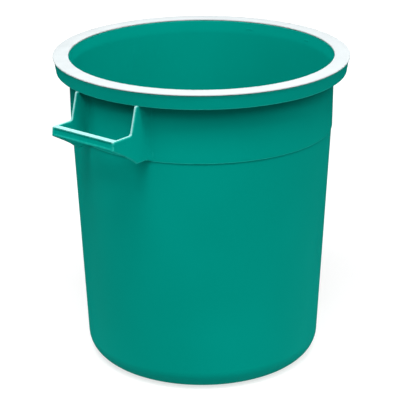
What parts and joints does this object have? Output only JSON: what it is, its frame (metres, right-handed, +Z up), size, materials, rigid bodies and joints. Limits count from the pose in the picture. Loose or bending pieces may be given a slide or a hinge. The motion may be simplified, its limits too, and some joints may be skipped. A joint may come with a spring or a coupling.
{
  "type": "open-top plastic tub",
  "caption": "Open-top round tapered plastic tub with a skirted rim, a pale sealing ring on the rim and a bracket grip handle on each side.",
  "frame": {"origin": "centre of the foot, on the floor the tub stands on", "axes": "+Z up along the tub's axis, towards the mouth; +X through the right handle and -X through the left one; +Y to a plain side"},
  "size_m": [0.5392, 0.4546, 0.4891],
  "materials": {
    "tub_plastic": "teal-green polyethylene, satin, fine moulded grain",
    "seal_white": "white, smooth satin"
  },
  "bodies": {
    "tub": {"tub_base": "tub_plastic", "tub_wall": "tub_plastic", "tub_collar": "tub_plastic", "rim_flange": "tub_plastic", "handle_left": "tub_plastic", "handle_right": "tub_plastic"},
    "seal": {"rim_seal": "seal_white"}
  },
  "joints": [
    {"name": "seal_lift", "type": "slide", "parent": "tub", "child": "seal", "axis": [0, 0, 1], "range_m": [0, 0.08]}
  ]
}
